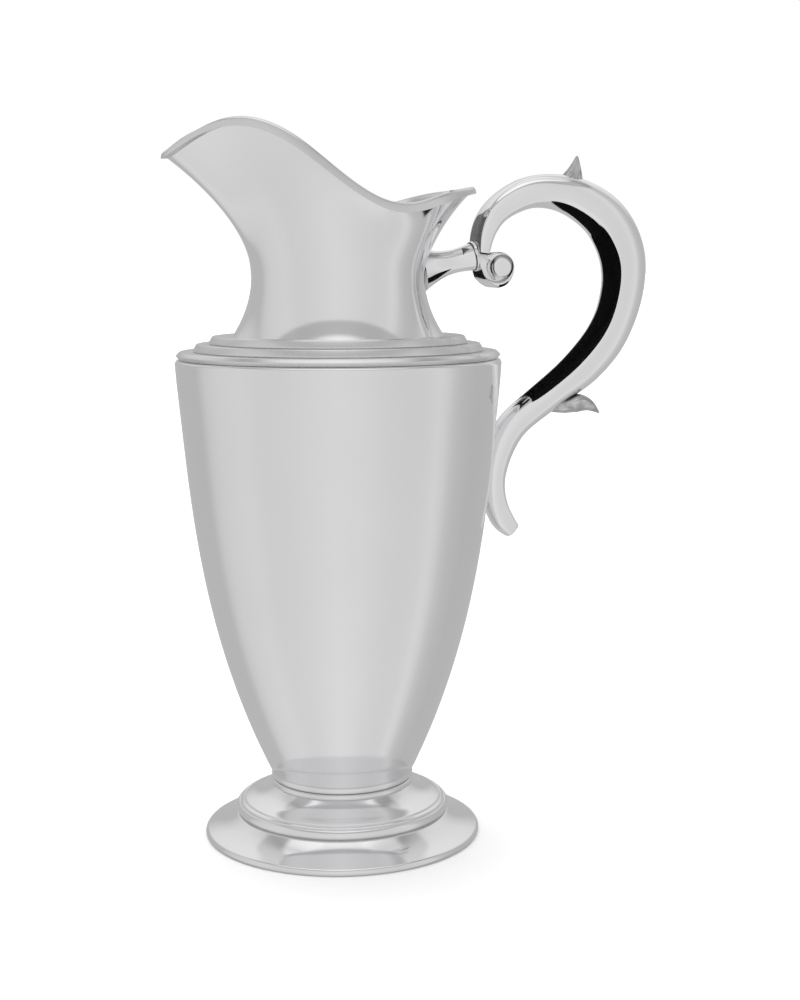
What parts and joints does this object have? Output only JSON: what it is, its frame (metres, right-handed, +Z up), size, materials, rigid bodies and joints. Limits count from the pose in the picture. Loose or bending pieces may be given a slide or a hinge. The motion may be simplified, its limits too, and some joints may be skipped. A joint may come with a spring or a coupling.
{
  "type": "silver water pitcher",
  "caption": "Vase-shaped water pitcher with a stepped shoulder, flared lip and spout, round stepped foot and hollow scroll handle.",
  "frame": {"origin": "centre of the foot on the surface the pitcher stands on", "axes": "+Z up along the vessel's axis, -X towards the spout, +X towards the handle, XZ is the mirror plane"},
  "size_m": [0.205, 0.133, 0.2923],
  "materials": {
    "spun_silver": "mirror polished spun silver sheet with faint hairline wear",
    "satin_silver": null,
    "silver_wire": "mirror polished drawn silver wire",
    "cast_silver": "bright polished silver casting",
    "chased_leaf_silver": "chased silver with darkened recesses"
  },
  "bodies": {
    "root": {"body_shell": "spun_silver", "neck": "spun_silver", "foot_dome": "spun_silver", "foot_flange": "spun_silver", "foot_rim_wire": "silver_wire", "foot_collar": "silver_wire", "strut_collar": "silver_wire", "shoulder_ring_lower": "satin_silver", "shoulder_ring_middle": "satin_silver", "shoulder_ring_upper": "satin_silver", "lip_wire": "satin_silver", "handle_front_half": "cast_silver", "handle_back_half": "cast_silver", "handle_tail": "cast_silver", "handle_strut": "cast_silver", "volute_scroll": "cast_silver", "volute_button_front": "cast_silver", "volute_button_back": "cast_silver", "thumb_leaf": "chased_leaf_silver", "spur_leaf": "chased_leaf_silver"}
  },
  "joints": []
}
